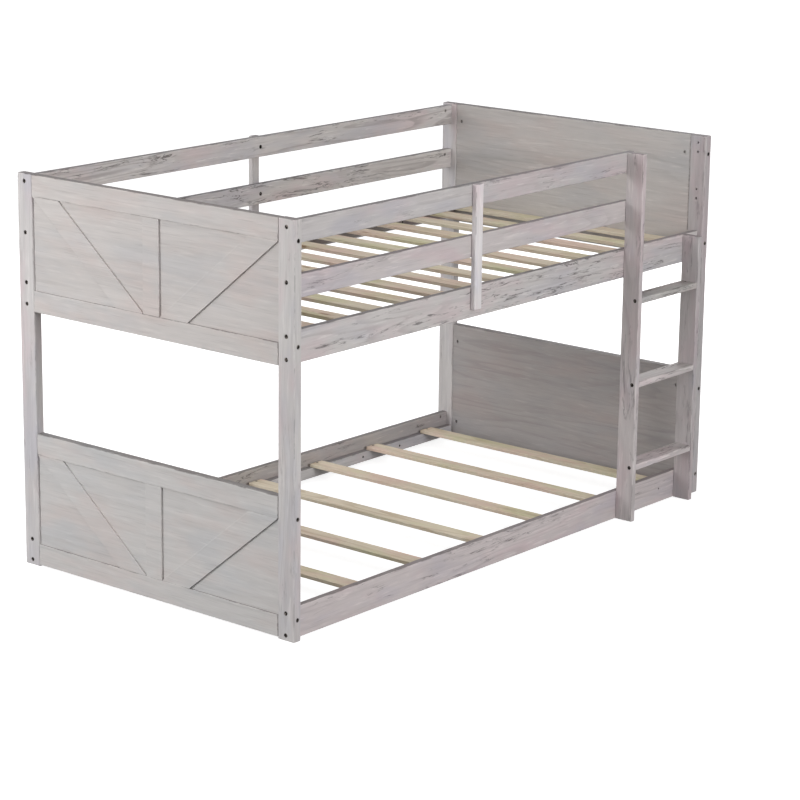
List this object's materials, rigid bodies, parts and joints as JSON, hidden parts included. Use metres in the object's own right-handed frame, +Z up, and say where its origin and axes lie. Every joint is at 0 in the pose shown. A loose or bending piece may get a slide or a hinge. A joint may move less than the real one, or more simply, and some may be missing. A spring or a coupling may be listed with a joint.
{
  "type": "bunk bed with ladder",
  "caption": "Twin-over-twin bunk bed in washed pine with barn-door end panels, slatted decks, guard rails and a fixed ladder bolted to the front.",
  "frame": {"origin": "middle of the footprint, ladder included, on the floor", "axes": "+X along the bed to the ladder end, +Y across the bed away from the ladder, +Z up"},
  "size_m": [2.02, 1.1414, 1.202],
  "materials": {
    "washed_pine": "distressed grey-white wash over knotty pine, matt",
    "bare_pine": "unpainted planed pine, matt",
    "dark_steel": "dark oxide socket-head bolts",
    "zinc_steel": "zinc-plated",
    "beech": "plain fluted hardwood dowel"
  },
  "bodies": {
    "root": {"baluster_front": "washed_pine", "baluster_rear": "washed_pine", "dowels": "beech", "far_lower_panel_board": "washed_pine", "far_lower_panel_brace_front": "washed_pine", "far_lower_panel_brace_rear": "washed_pine", "far_lower_panel_trim_bottom": "washed_pine", "far_lower_panel_trim_stile": "washed_pine", "far_lower_panel_trim_top": "washed_pine", "far_upper_panel_board": "washed_pine", "far_upper_panel_brace_front": "washed_pine", "far_upper_panel_brace_rear": "washed_pine", "far_upper_panel_trim_bottom": "washed_pine", "far_upper_panel_trim_stile": "washed_pine", "far_upper_panel_trim_top": "washed_pine", "ladder_rail_long": "washed_pine", "ladder_rail_short": "washed_pine", "low_guard_rail_front": "washed_pine", "low_guard_rail_rear": "washed_pine", "lower_cleat_front": "washed_pine", "lower_cleat_rear": "washed_pine", "lower_side_rail_front": "washed_pine", "lower_side_rail_rear": "washed_pine", "lower_slat_1": "bare_pine", "lower_slat_2": "bare_pine", "lower_slat_3": "bare_pine", "lower_slat_4": "bare_pine", "lower_slat_5": "bare_pine", "lower_slat_6": "bare_pine", "lower_slat_7": "bare_pine", "near_lower_panel_board": "washed_pine", "near_lower_panel_brace_front": "washed_pine", "near_lower_panel_brace_rear": "washed_pine", "near_lower_panel_trim_bottom": "washed_pine", "near_lower_panel_trim_stile": "washed_pine", "near_lower_panel_trim_top": "washed_pine", "near_upper_panel_board": "washed_pine", "near_upper_panel_brace_front": "washed_pine", "near_upper_panel_brace_rear": "washed_pine", "near_upper_panel_trim_bottom": "washed_pine", "near_upper_panel_trim_stile": "washed_pine", "near_upper_panel_trim_top": "washed_pine", "nuts": "zinc_steel", "panel_bolts": "dark_steel", "post_far_front": "washed_pine", "post_far_rear": "washed_pine", "post_near_front": "washed_pine", "post_near_rear": "washed_pine", "rail_bolts": "dark_steel", "rung_1": "washed_pine", "rung_2": "washed_pine", "rung_3": "washed_pine", "screws": "zinc_steel", "top_guard_rail_front": "washed_pine", "top_guard_rail_rear": "washed_pine", "upper_cleat_front": "washed_pine", "upper_cleat_rear": "washed_pine", "upper_side_rail_front": "washed_pine", "upper_side_rail_rear": "washed_pine", "upper_slats": "bare_pine"}
  },
  "joints": []
}
